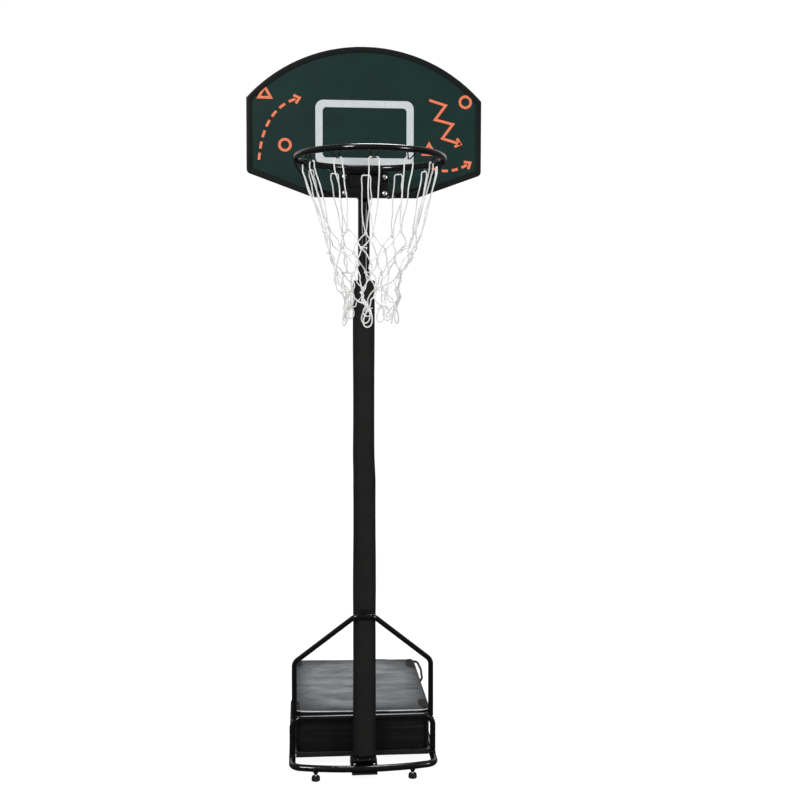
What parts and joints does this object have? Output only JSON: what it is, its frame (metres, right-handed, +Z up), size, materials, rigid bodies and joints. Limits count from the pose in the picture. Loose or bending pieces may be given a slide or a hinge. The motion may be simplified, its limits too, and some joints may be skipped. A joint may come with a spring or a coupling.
{
  "type": "basketball stand",
  "caption": "Free-standing basketball hoop on a telescoping pole, with a fan-shaped backboard, a ring and net, a padded pole sleeve and a tube floor frame weighed down by a sand bag.",
  "frame": {"origin": "on the floor, under the middle of the whole stand", "axes": "+Z up, -Y towards the player, +X to the right as the player sees the board"},
  "size_m": [0.71, 1.2002, 2.253],
  "materials": {
    "black_enamel": "gloss black enamel on steel",
    "green_board": "dark green, semi-matt, with printed orange coaching marks",
    "black_moulding": "satin black moulded edge",
    "white_film": "white printed film",
    "zinc_plate": "bright zinc plate",
    "black_plastic": "satin black moulded plastic",
    "black_rubber": "matt black rubber",
    "sleeve_cloth": "black coated cloth over foam",
    "bag_vinyl": "grey vinyl top, black sides, creased",
    "net_cord": "white braided cord"
  },
  "bodies": {
    "base": {"pole_tube": "black_enamel", "pole_collar": "black_plastic", "pole_sleeve": "sleeve_cloth", "clamp_boss": "zinc_plate", "floor_frame": "black_enamel", "bag_hoop": "black_enamel", "stay": "black_enamel", "stay_bolt": "zinc_plate", "pole_shoe": "black_enamel", "bow_saddle": "black_enamel", "bow_stud_left": "zinc_plate", "bow_stud_right": "zinc_plate", "shoe_bolt_left": "black_enamel", "shoe_bolt_right": "black_enamel", "shoe_nut_left": "zinc_plate", "shoe_nut_right": "zinc_plate", "foot_boss_left": "black_enamel", "foot_boss_right": "black_enamel", "rear_foot_left": "black_rubber", "rear_foot_right": "black_rubber", "bag_slat_1": "black_enamel", "bag_slat_2": "black_enamel", "bag_slat_3": "black_enamel", "weight_bag": "bag_vinyl"},
    "mast": {"backboard": "green_board", "board_rim": "black_moulding", "target_frame": "white_film", "rim_bracket": "black_enamel", "hoop_ring": "black_enamel", "ring_brace_left": "black_enamel", "ring_brace_right": "black_enamel", "net": "net_cord", "bracket_bolt_lower_left": "zinc_plate", "bracket_bolt_lower_right": "zinc_plate", "bracket_bolt_upper_left": "zinc_plate", "bracket_bolt_upper_right": "zinc_plate", "bracket_nut_lower_left": "zinc_plate", "bracket_nut_lower_right": "zinc_plate", "bracket_nut_upper_left": "zinc_plate", "bracket_nut_upper_right": "zinc_plate", "mast_tube": "black_enamel", "mast_cap": "black_plastic", "rear_bracket": "black_enamel", "mast_bolt_lower": "zinc_plate", "mast_bolt_upper": "zinc_plate", "mast_nut_lower": "zinc_plate", "mast_nut_upper": "zinc_plate"},
    "clamp_tip": {"clamp_pad": "zinc_plate"},
    "clamp_handle": {"clamp_screw": "zinc_plate", "clamp_knob": "black_plastic"},
    "foot_left": {"foot_pad_left": "black_rubber", "foot_stem_left": "zinc_plate"},
    "foot_right": {"foot_pad_right": "black_rubber", "foot_stem_right": "zinc_plate"}
  },
  "joints": [
    {"name": "height_slide", "type": "slide", "parent": "base", "child": "mast", "axis": [0, 0, 1], "range_m": [-0.2, 0.18]},
    {"name": "clamp_travel", "type": "slide", "parent": "base", "child": "clamp_tip", "axis": [0, 1, 0], "range_m": [0, 0.00251]},
    {"name": "clamp_turn", "type": "hinge", "parent": "clamp_tip", "child": "clamp_handle", "pos_m": [0, -0.024, 1.49], "axis": [0, 1, 0], "range_deg": [0, 720]},
    {"name": "foot_turn_left", "type": "hinge", "parent": "base", "child": "foot_left", "pos_m": [-0.1516, -0.11704, 0.02], "axis": [0, 0, 1], "range_deg": [-1440, 0]},
    {"name": "foot_turn_right", "type": "hinge", "parent": "base", "child": "foot_right", "pos_m": [0.1516, -0.11704, 0.02], "axis": [0, 0, 1], "range_deg": [-1440, 0]}
  ],
  "couplings": [
    {"joint": "clamp_travel", "follows": "clamp_turn", "m_per_rad": 0.00019894}
  ]
}
